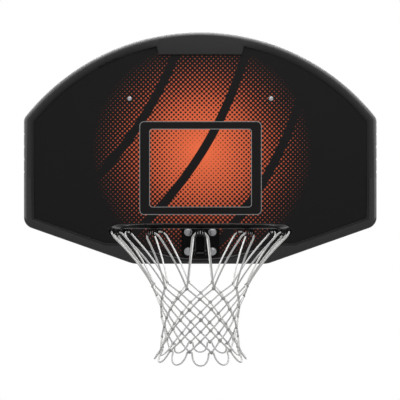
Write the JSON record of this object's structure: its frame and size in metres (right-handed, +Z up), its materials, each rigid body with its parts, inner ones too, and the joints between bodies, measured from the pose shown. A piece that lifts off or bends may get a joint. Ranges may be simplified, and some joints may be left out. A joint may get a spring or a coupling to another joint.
{
  "type": "basketball backboard",
  "caption": "Fan-shaped basketball backboard in a black moulded edge with an orange dotted face, a black ring on a sprung hinge and a white knotted net",
  "frame": {"origin": "centre of the four rear mounting holes, on the plane of the rails' rear faces", "axes": "+X to the right as the player sees the board, +Y away from the player into the post, +Z up"},
  "size_m": [1.118, 0.6783, 0.9799],
  "materials": {
    "board_face": "satin",
    "frame_plastic": "satin",
    "rear_steel": "satin",
    "rim_black": "gloss",
    "zinc": "satin",
    "black_oxide": "satin",
    "spring_steel": "satin",
    "pad_rubber": "matte",
    "thrust_nylon": "satin",
    "net_cord": "matte"
  },
  "bodies": {
    "board": {"backboard_panel": "board_face", "upper_frame": "frame_plastic", "lower_frame": "frame_plastic", "mount_crossbar": "rear_steel", "rim_backing_plate": "rear_steel", "mount_rail_right": "rear_steel", "mount_rail_left": "rear_steel", "rim_mount_plate": "rim_black", "hinge_lug_right": "rim_black", "hinge_lug_left": "rim_black", "frame_screws": "zinc", "frame_joiners": "zinc", "joiner_screws": "zinc", "top_bolts": "zinc", "top_washers": "zinc", "top_nuts": "zinc", "rim_bolts": "zinc", "rim_front_washers": "zinc", "rim_rear_washers": "zinc", "rim_nuts": "zinc", "spring_stud": "zinc", "pivot_pin": "black_oxide", "pivot_clip": "black_oxide", "spring_end_washer": "black_oxide", "spring_nut": "black_oxide", "flex_spring": "spring_steel", "stop_pad": "pad_rubber", "pivot_washers": "thrust_nylon"},
    "rim": {"hoop_ring": "rim_black", "bridge_plate": "rim_black", "arm_plate_right": "rim_black", "arm_plate_left": "rim_black", "arm_web": "rim_black", "spring_seat_washer": "black_oxide", "net_hooks": "rim_black", "net": "net_cord"}
  },
  "joints": [
    {"name": "rim_flex", "type": "hinge", "parent": "board", "child": "rim", "pos_m": [0, -0.066, -0.283], "axis": [1, 0, 0], "range_deg": [0, 15], "stiffness_Nm_per_rad": 300, "springref_deg": -20.05, "deforming": ["flex_spring"]}
  ]
}
